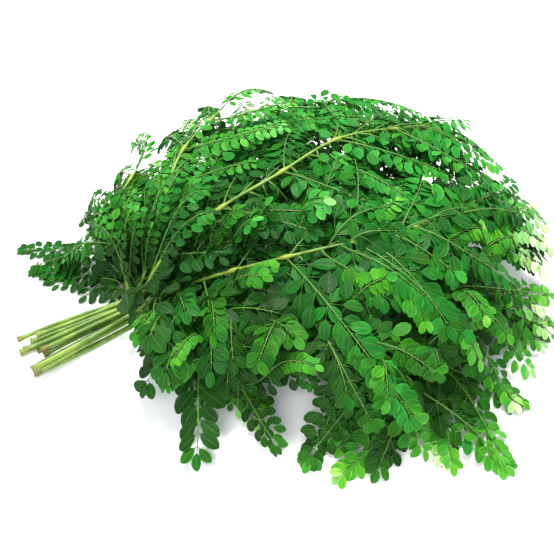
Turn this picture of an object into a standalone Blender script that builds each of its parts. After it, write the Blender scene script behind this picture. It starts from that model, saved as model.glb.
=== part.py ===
"""A bunch of cut moringa fronds lying in a loose heap. Metres, +Z up, +X from the cut ends to the tips.

Twelve fronds leave one bundle of stalks and fan out over the surface, and make the heap between them. Each
frond is one solid: its main stalk, sprays in pairs at the joints, and one spray at the tip. A spray is a thin
arched blade, cut to its rib into pairs of leaflets. It drapes over the heap and comes to lie on the surface.
Some more sprays are aimed at a place, where they stick out of the heap or lie in front of it.
"""

import math
import random
from functools import partial

import bmesh
import bpy
from mathutils import Matrix, Vector
from mathutils.bvhtree import BVHTree

# The heap: a dome over the surface, the flatter on top the lower the power.
heapCentre = Vector((0.055, 0.040))
heapHalfSize = (0.250, 0.245)
heapHeight = 0.132
heapPower = 0.56
farLean = 0.15

# The bundle of cut stalks, from the cut ends to the neck, where the fronds part.
buttCentre = Vector((-0.236, 0.040, 0.0))
neckCentre = Vector((-0.139, 0.060, 0.0))
buttPitch = 0.0098
neckPitch = 0.0072
rowPitch = 0.0062
buttStagger = (0.000, 0.011, 0.004, 0.015, 0.007)
middleColumn = 2.0

# The middle of the whole bunch on the surface, which becomes the origin.
bunchMiddle = Vector((0.0355, 0.0147, 0.0))

# Stalks.
buttRadius = 0.0029
neckRadius = 0.0025
tipRadius = 0.0011
flatShare = math.cos(math.radians(30))

# Sprays and their leaflets. An outline holds (share of the leaflet's length along the rib, share of its
# reach).
ribHalfWidth = 0.0009
ribHalfHeight = 0.0006
lowestRib = 0.0008
lowestEdge = 0.0003
bareLength = 0.013
leafletPitch = 0.0235
leafletLean = 0.32
leafletReach = 0.0245
tipReach = 0.66
archRange = (0.10, 0.32)
ribSteps = 14
leafletOutline = ((0.0, 0.0), (0.15, 0.66), (0.42, 1.0), (0.76, 0.84))
tipLeafletOutline = ((0.0, 0.0), (0.22, 0.62), (0.52, 0.78), (0.82, 0.56), (1.0, 0.12))
clearance = 0.00045
sprayHold = (0.64, 0.80)
tipHold = 0.88
pairOffset = 0.0015
tipSink = 0.002
lowestShell, highestShell = 0.12, 1.3
rootRings = 3
stalkTestSpans = 40
tries = 40
ownTries = 28
seed = 11

# Each frond: its column and row in the bundle, the points that its main stalk runs through beyond the neck,
# its joints as (share of the way along the stalk, length of the left spray, length of the right spray), its tip
# spray as (length, turn in degrees), and its green. Aimed sprays are (share of the way along the stalk, place
# of the end, rise on the way). The outermost fronds come before those that they cover.
fronds = {
    "frond_01": dict(
        slot=(0.3, 2), points=((-0.100, 0.028, 0.050), (-0.088, -0.010, 0.060), (-0.098, -0.048, 0.040)),
        joints=((0.46, 0.080, 0.080), (0.76, 0.095, 0.085)),
        tip=(0.100, -14), green="deep"),
    "frond_02": dict(
        slot=(1.3, 2),
        points=((-0.068, 0.011, 0.070), (0.006, -0.024, 0.102), (0.080, -0.045, 0.116), (0.155, -0.046, 0.112)),
        joints=((0.37, 0.110, 0.110), (0.52, 0.120, 0.190), (0.70, 0.120, 0.135), (0.88, 0.110, 0.110)),
        aimed=((0.97, (0.273, -0.001, 0.088), 0.008),),
        tip=(0.110, 4), green="leaf"),
    "frond_03": dict(
        slot=(2.2, 2),
        points=((-0.090, 0.056, 0.072), (-0.038, 0.059, 0.104), (0.028, 0.064, 0.124), (0.104, 0.082, 0.134),
                (0.206, 0.074, 0.128)),
        joints=((0.20, 0.095, 0.095), (0.37, 0.115, 0.105), (0.55, 0.120, 0.115), (0.73, 0.120, 0.125),
                (0.90, 0.110, 0.125)),
        aimed=((0.72, (0.138, 0.187, 0.118), 0.006), (0.88, (0.207, 0.144, 0.112), 0.006),
               (0.98, (0.270, 0.083, 0.112), 0.008)),
        tip=(0.112, 4), green="leaf"),
    "frond_04": dict(
        slot=(3.1, 2), points=((-0.086, 0.098, 0.080), (-0.040, 0.150, 0.116), (0.020, 0.190, 0.130)),
        joints=((0.26, 0.110, 0.085), (0.48, 0.115, 0.105), (0.70, 0.110, 0.110), (0.90, 0.095, 0.100)),
        aimed=((0.62, (-0.002, 0.235, 0.100), 0.006),),
        tip=(0.100, -12), green="leaf"),
    "frond_05": dict(
        slot=(4.0, 0), points=((-0.132, 0.096, 0.008), (-0.138, 0.130, 0.020), (-0.158, 0.158, 0.016)),
        joints=((0.42, 0.085, 0.085), (0.82, 0.085, 0.090)),
        aimed=((0.16, (-0.179, 0.112, 0.003), 0.004),),
        tip=(0.090, 35), green="deep"),
    "frond_06": dict(
        slot=(4.1, 1), points=((-0.126, 0.100, 0.044), (-0.118, 0.144, 0.072), (-0.082, 0.182, 0.088)),
        joints=((0.36, 0.110, 0.075), (0.64, 0.110, 0.090), (0.90, 0.090, 0.090)),
        tip=(0.110, 85), green="leaf"),
    "frond_07": dict(
        slot=(0.2, 1),
        points=((-0.080, 0.004, 0.050), (-0.024, -0.060, 0.078), (0.036, -0.116, 0.064),
                (0.070, -0.156, 0.026)),
        joints=((0.42, 0.105, 0.100), (0.64, 0.110, 0.105), (0.86, 0.100, 0.090)),
        aimed=((0.80, (-0.050, -0.165, 0.004), 0.016), (0.92, (-0.002, -0.200, 0.003), 0.010)),
        tip=(0.100, -20), green="leaf"),
    "frond_08": dict(
        slot=(0.0, 0), points=((-0.085, 0.004, 0.030), (-0.073, -0.033, 0.040), (-0.070, -0.084, 0.022)),
        joints=((0.50, 0.090, 0.080), (0.80, 0.085, 0.075)),
        tip=(0.070, -4), green="pale"),
    "frond_09": dict(
        slot=(2.0, 0),
        points=((-0.060, 0.014, 0.046), (0.040, -0.034, 0.074), (0.125, -0.078, 0.062), (0.188, -0.106, 0.024)),
        joints=((0.48, 0.090, 0.100), (0.69, 0.110, 0.105), (0.89, 0.105, 0.095)),
        aimed=((0.78, (0.241, -0.119, 0.040), 0.012), (0.88, (0.218, -0.149, 0.010), 0.008)),
        tip=(0.100, -8), green="pale"),
    "frond_10": dict(
        slot=(2.3, 1),
        points=((-0.060, 0.036, 0.056), (0.040, 0.016, 0.090), (0.140, 0.012, 0.098), (0.228, -0.004, 0.086)),
        joints=((0.19, 0.085, 0.085), (0.35, 0.085, 0.080), (0.53, 0.095, 0.090), (0.72, 0.115, 0.100),
                (0.90, 0.110, 0.110)),
        aimed=((0.92, (0.283, -0.064, 0.055), 0.010), (0.96, (0.285, 0.055, 0.085), 0.008)),
        tip=(0.105, -12), green="pale"),
    "frond_11": dict(
        slot=(3.0, 0),
        points=((-0.070, 0.090, 0.050), (0.004, 0.138, 0.100), (0.078, 0.182, 0.118), (0.156, 0.196, 0.104)),
        joints=((0.20, 0.090, 0.085), (0.41, 0.095, 0.090), (0.62, 0.105, 0.105), (0.84, 0.105, 0.105)),
        aimed=((0.70, (0.095, 0.216, 0.118), 0.006), (1.00, (0.230, 0.120, 0.105), 0.010)),
        tip=(0.110, -10), green="leaf"),
    "frond_12": dict(
        slot=(1.0, 0), points=((-0.060, 0.044, 0.002), (0.040, -0.046, 0.016), (0.108, -0.126, 0.012)),
        joints=((0.84, 0.090, 0.085),),
        aimed=((0.95, (0.062, -0.221, 0.003), 0.006),),
        tip=(0.090, -12), green="leaf"),
}

greens = {
    "deep": (0.020, 0.125, 0.018, 1.0),
    "leaf": (0.045, 0.215, 0.040, 1.0),
    "pale": (0.220, 0.420, 0.160, 1.0),
}
leafRoughness = 0.55


def domeHeight(x, y):
    """Height of the heap over the surface, 0 beyond its rim."""
    reach = ((x - heapCentre.x) / heapHalfSize[0]) ** 2 + ((y - heapCentre.y) / heapHalfSize[1]) ** 2
    return heapHeight * (1 - reach) ** heapPower if reach < 1 else 0.0


def domeNormal(x, y):
    """Which way a blade on the heap faces. On the far side it stays more level."""
    d = 0.012
    slopeX = (domeHeight(x + d, y) - domeHeight(x - d, y)) / (2 * d)
    slopeY = (domeHeight(x, y + d) - domeHeight(x, y - d)) / (2 * d)
    return Vector((-slopeX, -slopeY if slopeY > 0 else -slopeY * farLean, 1)).normalized()


def smoothPath(points, perSpan):
    """Points of a smooth curve through the given ones, which is straight along the first span."""
    spans = [b - a for a, b in zip(points, points[1:])]
    headings = [spans[0].normalized()] * 2
    for before, after in zip(spans[1:], spans[2:]):
        headings.append((before.normalized() * after.length + after.normalized() * before.length).normalized())
    headings.append(spans[-1].normalized())
    path = [points[0].copy(), points[0].lerp(points[1], 0.5)]
    for i in range(1, len(spans)):
        reach = spans[i].length
        for k in range(perSpan):
            t = k / perSpan
            path.append(points[i] * (1 - 3 * t ** 2 + 2 * t ** 3) + points[i + 1] * (3 * t ** 2 - 2 * t ** 3)
                        + headings[i] * reach * (t - 2 * t ** 2 + t ** 3)
                        + headings[i + 1] * reach * (t ** 3 - t ** 2))
    return path + [points[-1].copy()]


class Way:
    """A path that is read by the distance along it, straight on past its ends."""

    def __init__(self, points):
        self.points = points
        self.marks = [0.0]
        for a, b in zip(points, points[1:]):
            self.marks.append(self.marks[-1] + (b - a).length)
        self.length = self.marks[-1]

    def at(self, distance):
        i = 0
        while i < len(self.marks) - 2 and self.marks[i + 1] < distance:
            i += 1
        share = (distance - self.marks[i]) / (self.marks[i + 1] - self.marks[i])
        return self.points[i].lerp(self.points[i + 1], share)

    def along(self, distance):
        reach = 0.004
        return (self.at(distance + reach) - self.at(distance - reach)).normalized()


def slotPoint(centre, pitch, radius, slot, along):
    """Where a stalk lies in the bundle at one of its ends. The lowest row lies on the surface."""
    run = (neckCentre - buttCentre).normalized()
    across = Vector((-run.y, run.x, 0))
    column, row = slot
    height = radius * flatShare + row * rowPitch
    return centre + across * (column - middleColumn) * pitch + run * along + Vector((0, 0, height))


def stalkWay(index, plan):
    """The main stalk's path from its cut end to its tip."""
    stagger = buttStagger[index % len(buttStagger)]
    butt = slotPoint(buttCentre, buttPitch, buttRadius, plan["slot"], stagger)
    neck = slotPoint(neckCentre, neckPitch, neckRadius, plan["slot"], 0.0)
    knots = [butt, neck] + [Vector(p) for p in plan["points"]]
    return Way(smoothPath(knots, 4))


def stalkRadius(way, distance):
    neckDistance = (neckCentre - buttCentre).length
    if distance < neckDistance:
        return buttRadius + (neckRadius - buttRadius) * distance / neckDistance
    share = (distance - neckDistance) / (way.length - neckDistance)
    return neckRadius + (tipRadius - neckRadius) * share


def drape(start, heading, turn, slope, length, shell, hold):
    """The rib of a spray: it leaves at its heading and slope and bends down on a shell of the heap, the later
    the more it holds its slope. On the surface it lies flat."""
    points = [start.copy()]
    step = length / ribSteps
    for i in range(ribSteps):
        way = heading + turn * (i + 0.5) / ribSteps
        p = points[-1]
        ahead = domeHeight(p.x + math.cos(way) * step, p.y + math.sin(way) * step) * shell
        wanted = math.atan2(ahead - p.z, 2.2 * step)
        slope = wanted + (slope - wanted) * hold
        level = step * math.cos(slope)
        p = p + Vector((math.cos(way) * level, math.sin(way) * level, step * math.sin(slope)))
        p.z = max(p.z, lowestRib)
        points.append(p)
    return Way(points)


def reachOut(start, along, end, rise):
    """The rib of a spray that is aimed at a place: it leaves forwards and upwards and levels out at its end."""
    straight = end - start
    reach = straight.length / 3
    first = start + (along + straight.normalized()).normalized() * reach + Vector((0, 0, rise))
    last = end - Vector((straight.x, straight.y, 0)).normalized() * reach + Vector((0, 0, rise))
    points = []
    for i in range(ribSteps + 1):
        t = i / ribSteps
        p = (start * (1 - t) ** 3 + first * 3 * t * (1 - t) ** 2 + last * 3 * t ** 2 * (1 - t) + end * t ** 3)
        p.z = max(p.z, lowestRib)
        points.append(p)
    return Way(points)


def bladeStations(length):
    """Stations of a blade as (distance along the rib, reach of its edges), leaflet by leaflet."""
    stations = [(0.0, 0.0), (bareLength * 0.5, 0.0)]
    tipLength = leafletPitch * 1.05
    pairs = max(2, round((length - bareLength - tipLength) / leafletPitch))
    pitch = (length - bareLength - tipLength) / pairs
    for pair in range(pairs):
        reach = leafletReach * (1 - (1 - tipReach) * pair / pairs)
        stations += [(bareLength + (pair + share) * pitch, reach * out) for share, out in leafletOutline]
    reach = tipLength * 0.52
    stations += [(length - tipLength * (1 - share), reach * out) for share, out in tipLeafletOutline]
    return stations


def bladePoint(rib, distance, across, arch, roll):
    """A point on the blade's middle surface, across from the rib."""
    p = rib.at(distance)
    along = rib.along(distance)
    normal = domeNormal(p.x, p.y)
    side = along.cross(normal).normalized()
    side = side * math.cos(roll) + side.cross(along) * math.sin(roll)
    normal = side.cross(along)
    p = p + side * across - normal * abs(across) * arch
    p.z = max(p.z, lowestEdge)
    return p


def ribFrame(rib, distance):
    p = rib.at(distance)
    along = rib.along(distance)
    side = along.cross(domeNormal(p.x, p.y)).normalized()
    return p, side.cross(along)


def bladeRings(rib, length, arch, roll):
    """Sections of the blade: the rib's top, the right edge, the rib's underside and the left edge."""
    rings = []
    for distance, reach in bladeStations(length):
        p, normal = ribFrame(rib, distance)
        across = ribHalfWidth + reach
        ahead = distance + leafletLean * reach
        right = bladePoint(rib, ahead, across, arch, roll)
        left = bladePoint(rib, ahead, -across, arch, roll)
        rings.append((p + normal * ribHalfHeight, right, p - normal * ribHalfHeight, left))
    return rings


def ringFaces(count):
    """Triangles of a closed skin over a blade's sections, split alike on the upper and the lower face."""
    faces = []
    for ring in range(count - 1):
        a, b = ring * 4, ring * 4 + 4
        for first, second in ((0, 1), (0, 3), (2, 1), (2, 3)):
            corners = ((a + first, a + second, b + second), (a + first, b + second, b + first))
            flip = (first, second) in ((0, 3), (2, 1))
            faces += [c[::-1] if flip else c for c in corners]
    last = (count - 1) * 4
    faces += [(0, 2, 1), (0, 3, 2), (last, last + 1, last + 2), (last, last + 2, last + 3)]
    return faces


def bladeSkin(rings):
    return [p for ring in rings for p in ring], ringFaces(len(rings))


def inflated(rings, gap):
    """A skin round a blade at a small distance, to test against."""
    points = []
    for top, right, under, left in rings:
        up = (top - under).normalized() * gap
        out = (right - left).normalized() * gap
        points += [top + up, right + up + out, right - up + out, under - up, left - up - out, left + up - out]
    return points, tubeFaces(len(rings) - 1)


def tubeFaces(spans):
    """Triangles round a six-sided tube that is open at its ends."""
    faces = []
    for a in range(0, spans * 6, 6):
        for i in range(6):
            j = (i + 1) % 6
            faces += [(a + i, a + j, a + 6 + j), (a + i, a + 6 + j, a + 6 + i)]
    return faces


class Placed:
    """A piece that is in place: its skin, and its box for a quick test."""

    def __init__(self, frond, points, faces):
        self.frond = frond
        self.low = Vector([min(p[i] for p in points) for i in range(3)])
        self.high = Vector([max(p[i] for p in points) for i in range(3)])
        self.tree = BVHTree.FromPolygons(points, faces)

    def meets(self, other):
        if any(self.low[i] > other.high[i] or other.low[i] > self.high[i] for i in range(3)):
            return False
        return bool(self.tree.overlap(other.tree))


def stalkSkin(way, gap):
    """A six-sided skin round a main stalk at a small distance."""
    points = []
    for span in range(stalkTestSpans + 1):
        distance = way.length * span / stalkTestSpans
        p = way.at(distance)
        side = way.along(distance).cross(Vector((0, 0, 1))).normalized()
        up = side.cross(way.along(distance))
        radius = (stalkRadius(way, distance) + gap) / flatShare
        for corner in range(6):
            angle = corner * math.pi / 3
            points.append(p + (side * math.cos(angle) + up * math.sin(angle)) * radius)
    return points, tubeFaces(stalkTestSpans)


def wantedSprays(plan, way):
    """A frond's sprays as (distance along the stalk, length, side, turn): pairs at joints, one at the tip."""
    neckDistance = (neckCentre - buttCentre).length
    sprays = []
    for share, left, right in plan["joints"]:
        distance = neckDistance + (way.length - neckDistance) * share
        sprays += [(distance + pairOffset, left, 1, 0.0), (distance - pairOffset, right, -1, 0.0)]
    tipLength, tipTurn = plan["tip"]
    return sprays + [(way.length - tipSink, tipLength, 0, math.radians(tipTurn))]


def drawSpray(way, spray, draw, loose):
    """Sections of one spray, drawn at random round its natural place, the further from it the looser."""
    distance, length, side, turn = spray
    start = way.at(distance)
    along = way.along(distance)
    under = domeHeight(start.x, start.y)
    shell = min(max(start.z / under, lowestShell), highestShell) if under > 0 else 1.0
    spread = math.radians(draw.uniform(50, 66) + loose * draw.uniform(-24, 24)) * side
    lift = math.radians(draw.uniform(2, 14) + loose * draw.uniform(-30, 30))
    slope = math.asin(along.z) * (0.5 if side else 1.0) + lift
    bend = turn + math.radians(draw.uniform(-14, 14) - 16 * side)
    length *= 1 - 0.25 * loose * draw.random()
    shell *= 1 + loose * draw.uniform(-0.3, 0.12)
    hold = draw.uniform(*sprayHold) if side else tipHold
    rib = drape(start, math.atan2(along.y, along.x) + spread, bend, slope, length, shell, hold)
    arch = draw.uniform(*archRange)
    return bladeRings(rib, length, arch, math.radians(draw.uniform(-14, 14) * (1 + loose)))


def drawAimed(way, aim, draw, loose):
    """Sections of one aimed spray, its end drawn at random round its place, the further from it the looser."""
    share, end, rise = aim
    neckDistance = (neckCentre - buttCentre).length
    distance = neckDistance + (way.length - neckDistance) * share - tipSink
    end = Vector(end) + Vector([draw.uniform(-0.03, 0.03) for i in range(3)]) * loose
    end.z = max(end.z, lowestRib)
    rise = rise + draw.uniform(0.0, 0.03) * loose
    rib = reachOut(way.at(distance), way.along(distance), end, rise)
    arch = draw.uniform(*archRange)
    return bladeRings(rib, rib.length, arch, math.radians(draw.uniform(-10, 10) * (1 + loose)))


def placeSpray(name, order, drawn, placed):
    """Sections of one spray, bent clear of the other fronds, and of the frond's own sprays if it can be. None
    where it finds no room."""
    draw = random.Random(f"{seed} {name} {order}")
    for attempt in range(tries):
        rings = drawn(draw, attempt / tries)
        whole = Placed(name, *bladeSkin(rings))
        blade = Placed(name, *bladeSkin(rings[rootRings:]))
        meetsOthers = any(whole.meets(other) for other in placed if other.frond != name)
        meetsOwn = attempt < ownTries and any(blade.meets(other) for other in placed if other.frond == name)
        if not meetsOthers and not meetsOwn:
            placed.append(Placed(name, *inflated(rings[:rootRings + 1], clearance)))
            placed.append(Placed(name, *inflated(rings[rootRings:], clearance)))
            return rings
    return None


def placeSprays(ways):
    """Sections of every frond's sprays. The aimed ones come first, and the rest find room between them."""
    placed = [Placed(name, *stalkSkin(way, clearance)) for name, way in ways.items()]
    sprays = {name: [] for name in ways}
    for name, plan in fronds.items():
        for order, aim in enumerate(plan.get("aimed", ())):
            drawn = partial(drawAimed, ways[name], aim)
            sprays[name].append(placeSpray(name, f"aimed {order}", drawn, placed))
    for name, plan in fronds.items():
        for order, spray in enumerate(wantedSprays(plan, ways[name])):
            drawn = partial(drawSpray, ways[name], spray)
            sprays[name].append(placeSpray(name, order, drawn, placed))
    return sprays


def bladeObject(rings, collection):
    points, faces = bladeSkin(rings)
    shape = bmesh.new()
    corners = [shape.verts.new(p) for p in points]
    for face in faces:
        shape.faces.new([corners[i] for i in face])
    mesh = bpy.data.meshes.new("blade")
    shape.to_mesh(mesh)
    shape.free()
    blade = bpy.data.objects.new("blade", mesh)
    collection.objects.link(blade)
    return blade


def stalkMesh(way, name):
    """The main stalk as a beveled curve with six sides, one of them flat underneath."""
    curve = bpy.data.curves.new(name, "CURVE")
    curve.dimensions = "3D"
    curve.twist_mode = "Z_UP"
    curve.bevel_depth = 1.0
    curve.bevel_resolution = 1
    curve.use_fill_caps = True
    spline = curve.splines.new("POLY")
    spline.points.add(len(way.points) - 1)
    for point, p, mark in zip(spline.points, way.points, way.marks):
        radius = stalkRadius(way, mark)
        point.co = (p.x, p.y, max(p.z, radius * flatShare), 1)
        point.radius = radius
    holder = bpy.data.objects.new(name, curve)
    bpy.context.scene.collection.objects.link(holder)
    evaluated = holder.evaluated_get(bpy.context.evaluated_depsgraph_get())
    mesh = bpy.data.meshes.new_from_object(evaluated)
    bpy.data.objects.remove(holder)
    bpy.data.curves.remove(curve)
    shape = bmesh.new()
    shape.from_mesh(mesh)
    bmesh.ops.remove_doubles(shape, verts=shape.verts, dist=0.00001)
    bmesh.ops.triangulate(shape, faces=shape.faces)
    bmesh.ops.recalc_face_normals(shape, faces=shape.faces)
    shape.to_mesh(mesh)
    shape.free()
    return mesh


def frondMaterial(name, green):
    material = bpy.data.materials.new(name)
    material.use_nodes = True
    shader = material.node_tree.nodes["Principled BSDF"]
    shader.inputs["Base Color"].default_value = greens[green]
    shader.inputs["Roughness"].default_value = leafRoughness
    shader.inputs["Metallic"].default_value = 0.0
    return material


def buildFrond(name, way, sprays, green, bunch):
    """One solid: the main stalk, joined with its sprays, whose roots lie in it."""
    frond = bpy.data.objects.new(name, stalkMesh(way, name))
    bunch.objects.link(frond)
    loose = bpy.data.collections.new(f"{name} sprays")
    bpy.context.scene.collection.children.link(loose)
    for rings in sprays:
        bladeObject(rings, loose)
    union = frond.modifiers.new("sprays", "BOOLEAN")
    union.operation = "UNION"
    union.operand_type = "COLLECTION"
    union.collection = loose
    union.solver = "EXACT"
    evaluated = frond.evaluated_get(bpy.context.evaluated_depsgraph_get())
    joined = bpy.data.meshes.new_from_object(evaluated)
    frond.modifiers.clear()
    frond.data = joined
    frond.data.transform(Matrix.Translation(-bunchMiddle))
    frond.data.materials.append(frondMaterial(name, green))
    for blade in list(loose.objects):
        bpy.data.objects.remove(blade)
    bpy.data.collections.remove(loose)


def buildBunch():
    for thing in list(bpy.data.objects):
        bpy.data.objects.remove(thing)
    bunch = bpy.data.collections.new("moringa bunch")
    bpy.context.scene.collection.children.link(bunch)
    ways = {name: stalkWay(index, plan) for index, (name, plan) in enumerate(fronds.items())}
    for name, sprays in placeSprays(ways).items():
        found = [rings for rings in sprays if rings]
        buildFrond(name, ways[name], found, fronds[name]["green"], bunch)
        print(name, len(found), "sprays", len(sprays), "wanted")


buildBunch()
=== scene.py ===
import random
from functools import partial
from math import asin, atan2, cos, exp, hypot, pi, radians, sin

import bmesh
import bpy
from mathutils import Matrix, Quaternion, Vector
from mathutils.bvhtree import BVHTree


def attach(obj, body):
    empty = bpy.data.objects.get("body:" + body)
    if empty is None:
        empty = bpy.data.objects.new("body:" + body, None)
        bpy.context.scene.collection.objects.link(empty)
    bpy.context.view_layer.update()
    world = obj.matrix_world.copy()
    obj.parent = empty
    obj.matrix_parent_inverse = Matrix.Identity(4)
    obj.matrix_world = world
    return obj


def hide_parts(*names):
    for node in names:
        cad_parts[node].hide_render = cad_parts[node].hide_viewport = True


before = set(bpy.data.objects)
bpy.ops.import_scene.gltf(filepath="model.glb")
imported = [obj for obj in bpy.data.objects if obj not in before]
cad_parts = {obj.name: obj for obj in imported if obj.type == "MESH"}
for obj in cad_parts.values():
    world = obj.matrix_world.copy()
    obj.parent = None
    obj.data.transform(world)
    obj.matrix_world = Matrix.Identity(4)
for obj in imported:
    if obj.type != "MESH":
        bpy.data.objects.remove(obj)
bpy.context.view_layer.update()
up = Vector((0, 0, 1))

# camera, floor and light


def addObject(name, data):
    made = bpy.data.objects.new(name, data)
    bpy.context.scene.collection.objects.link(made)
    return made


photoView = {
    "target": (-0.0355, -0.0147, 0.055),
    "azimuth": -24.0,  # degrees, 0 looks along +Y
    "elevation": 45.0,
    "distance": 0.62,
    "lens": 42.0,
    "sensor": 36.0,
    "nearest": 0.01,
}


def placeCamera(values):
    turn, lift = radians(values["azimuth"]), radians(values["elevation"])
    back = Vector((sin(turn) * cos(lift), -cos(turn) * cos(lift), sin(lift)))
    camera = addObject("photoCamera", bpy.data.cameras.new("photoCamera"))
    camera.data.lens = values["lens"]
    camera.data.sensor_width = values["sensor"]
    camera.data.clip_start = values["nearest"]
    camera.location = Vector(values["target"]) + back * values["distance"]
    camera.rotation_euler = (-back).to_track_quat("-Z", "Y").to_euler()
    bpy.context.scene.camera = camera


studio = {
    "floorSize": 6.0,
    "floorColour": (0.95, 0.95, 0.94, 1.0),
    "floorRoughness": 0.7,
    "skyColour": (0.93, 0.97, 1.0, 1.0),
    "skyStrength": 0.80,
    # each light: place, aim, size across, watts, colour
    "key": ((0.14, 0.26, 1.42), (0.0, 0.0, 0.04), 0.44, 32.0, (1.0, 0.98, 0.93)),
    "fill": ((-0.75, -0.85, 1.1), (0.0, 0.0, 0.04), 1.0, 15.0, (0.97, 0.99, 1.0)),
}


def feed(tree, socket, value):
    if isinstance(value, bpy.types.NodeSocket):
        tree.links.new(value, socket)
    else:
        socket.default_value = value


def nodeOf(tree, kind, inputs=None, **values):
    made = tree.nodes.new("ShaderNode" + kind)
    for name, value in values.items():
        setattr(made, name, value)
    for name, value in (inputs or {}).items():
        feed(tree, made.inputs[name], value)
    return made


def newMaterial(name):
    material = bpy.data.materials.new(name)
    material.use_nodes = True
    return material, material.node_tree


def finishMaterial(tree, inputs):
    for name, value in inputs.items():
        feed(tree, tree.nodes["Principled BSDF"].inputs[name], value)


def layFloor(values):
    sheet = bmesh.new()
    bmesh.ops.create_grid(sheet, x_segments=1, y_segments=1, size=values["floorSize"] / 2)
    mesh = bpy.data.meshes.new("paleFloor")
    sheet.to_mesh(mesh)
    sheet.free()
    material, tree = newMaterial("palePaper")
    finishMaterial(tree, {"Base Color": values["floorColour"], "Roughness": values["floorRoughness"]})
    mesh.materials.append(material)
    addObject("paleFloor", mesh)


def hangLight(name, values):
    place, aim, size, watts, colour = values
    lamp = bpy.data.lights.new(name, "AREA")
    lamp.shape = "DISK"
    lamp.size = size
    lamp.energy = watts
    lamp.color = colour
    light = addObject(name, lamp)
    light.location = place
    light.rotation_euler = (Vector(aim) - Vector(place)).to_track_quat("-Z", "Y").to_euler()


def lightStudio(values):
    world = bpy.data.worlds.new("softSky")
    world.use_nodes = True
    sky = world.node_tree.nodes["Background"]
    sky.inputs["Color"].default_value = values["skyColour"]
    sky.inputs["Strength"].default_value = values["skyStrength"]
    bpy.context.scene.world = world
    hangLight("keyLight", values["key"])
    hangLight("fillLight", values["fill"])
    bpy.context.scene.view_settings.view_transform = "Standard"


placeCamera(photoView)
layFloor(studio)
lightStudio(studio)
print("camera, floor and light are in place")

# the bunch: the same plan as the CAD fronds
# the heap is a dome over the surface, and the bundle is where the cut stalks lie side by side
heap = {
    "centre": (0.055, 0.040),
    "halfSize": (0.250, 0.245),
    "height": 0.132,
    "power": 0.56,
    "slopeStep": 0.012,
    "farLean": 0.15,  # how much of the far side's slope the leaves follow
}
bundle = {
    "cutEnds": Vector((-0.236, 0.040, 0.0)),
    "neck": Vector((-0.139, 0.060, 0.0)),
    "cutPitch": 0.0098,
    "neckPitch": 0.0072,
    "rowPitch": 0.0062,
    "stagger": (0.000, 0.011, 0.004, 0.015, 0.007),
    "middleColumn": 2.0,
    "cutRadius": 0.0029,
    "neckRadius": 0.0025,
    "tipRadius": 0.0011,
    "flatShare": cos(radians(30)),
}
bunchMiddle = Vector((0.0355, 0.0147, 0.0))
neckDistance = (bundle["neck"] - bundle["cutEnds"]).length
run = (bundle["neck"] - bundle["cutEnds"]).normalized()
acrossRun = Vector((-run.y, run.x, 0))

spray = {
    "ribHalfWidth": 0.0009,
    "ribHalfHeight": 0.0006,
    "lowestRib": 0.0008,
    "lowestEdge": 0.0003,
    "bareLength": 0.013,
    "pitch": 0.0235,
    "lean": 0.32,
    "reach": 0.0245,
    "tipReach": 0.66,
    "tipLength": 1.05,  # of the pitch
    "tipHalfWidth": 0.52,  # of the tip's length
    "arch": (0.10, 0.32),
    "steps": 14,
    "lookAhead": 2.2,  # in steps, how soon a hanging rib turns to the heap
    "outline": ((0.0, 0.0), (0.15, 0.66), (0.42, 1.0), (0.76, 0.84)),
    "tipOutline": ((0.0, 0.0), (0.22, 0.62), (0.52, 0.78), (0.82, 0.56), (1.0, 0.12)),
    "clearance": 0.00045,
    "hold": (0.64, 0.80),
    "tipHold": 0.88,
    # degrees: off the stalk, above it, sideways bend, its turn to the stalk, and roll
    "spread": (50, 66),
    "lift": (2, 14),
    "bend": 14,
    "inward": 16,
    "roll": (14, 10),  # of a draped and of an aimed spray
    "sideSlope": 0.5,  # of the stalk's slope
    # how far these may change where a spray finds no room
    "looseSpread": 24,
    "looseLift": 30,
    "looseLength": 0.25,
    "looseShell": (-0.3, 0.12),
    "looseEnd": 0.03,
    "pairOffset": 0.0015,
    "tipSink": 0.002,
    "shells": (0.12, 1.3),
    "rootRings": 3,
    "stalkSpans": 40,
    "tries": 40,
    "ownTries": 28,
    "seed": 11,
}

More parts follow.
